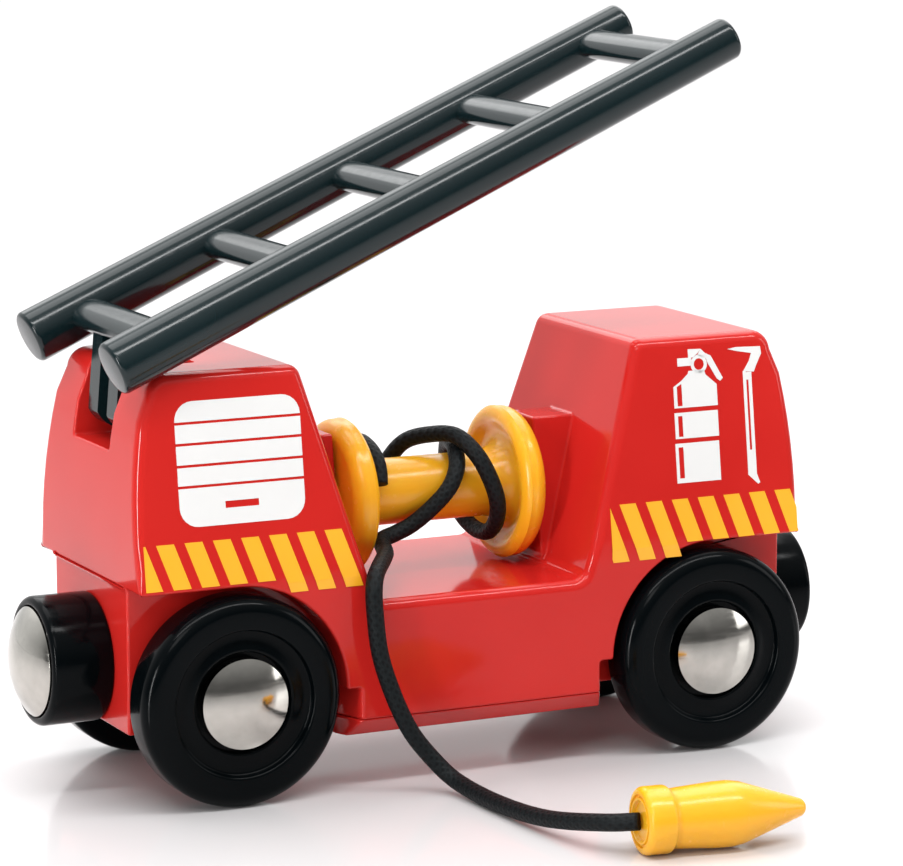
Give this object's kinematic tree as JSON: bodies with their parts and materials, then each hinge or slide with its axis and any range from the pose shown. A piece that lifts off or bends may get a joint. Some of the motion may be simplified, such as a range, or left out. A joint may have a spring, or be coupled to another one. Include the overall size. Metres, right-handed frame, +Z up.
{
  "type": "toy fire engine",
  "caption": "Toy fire engine for wooden railway track: hollow red body, black wheels, magnet couplers, tilting ladder and a hose on a reel.",
  "frame": {"origin": "on the floor, midway between the axles, on the centre plane", "axes": "+X towards the front, +Y towards the vehicle's left, +Z up"},
  "size_m": [0.0936, 0.0692, 0.0785],
  "materials": {
    "red_plastic": "high gloss moulded shell",
    "black_plastic": "gloss, slightly worn",
    "ladder_plastic": "gloss, dark green-black",
    "yellow_plastic": "soft gloss",
    "nickel": "polished nickel with fine scratches",
    "steel": "drawn wire, turned ends",
    "hose": "tight braid"
  },
  "bodies": {
    "vehicle": {"body_shell": "red_plastic", "base_plate": "red_plastic", "base_screws": "steel", "front_coupler_cup": "black_plastic", "rear_coupler_cup": "black_plastic", "front_magnet": "nickel", "rear_magnet": "nickel", "coupler_screws": "steel", "ladder_pin": "steel", "reel_rod": "steel", "hose_cord": "hose", "nozzle": "yellow_plastic", "nozzle_plug": "yellow_plastic"},
    "front_wheelset": {"front_axle": "steel", "front_left_wheel": "black_plastic", "front_right_wheel": "black_plastic", "front_left_hub_cap": "nickel", "front_right_hub_cap": "nickel"},
    "rear_wheelset": {"rear_axle": "steel", "rear_left_wheel": "black_plastic", "rear_right_wheel": "black_plastic", "rear_left_hub_cap": "nickel", "rear_right_hub_cap": "nickel"},
    "ladder_arm": {"ladder": "ladder_plastic"},
    "reel": {"hose_reel": "yellow_plastic"}
  },
  "joints": [
    {"name": "front_axle_spin", "type": "hinge", "parent": "vehicle", "child": "front_wheelset", "pos_m": [0.0275, 0, 0.011], "axis": [0, 1, 0], "continuous": true},
    {"name": "rear_axle_spin", "type": "hinge", "parent": "vehicle", "child": "rear_wheelset", "pos_m": [-0.0275, 0, 0.011], "axis": [0, 1, 0], "continuous": true},
    {"name": "ladder_tilt", "type": "hinge", "parent": "vehicle", "child": "ladder_arm", "pos_m": [-0.0338, 0, 0.04055], "axis": [0, -1, 0], "range_deg": [-23.4, 60]},
    {"name": "reel_spin", "type": "hinge", "parent": "vehicle", "child": "reel", "pos_m": [-0.00015, 0, 0.0285], "axis": [1, 0, 0], "continuous": true}
  ]
}
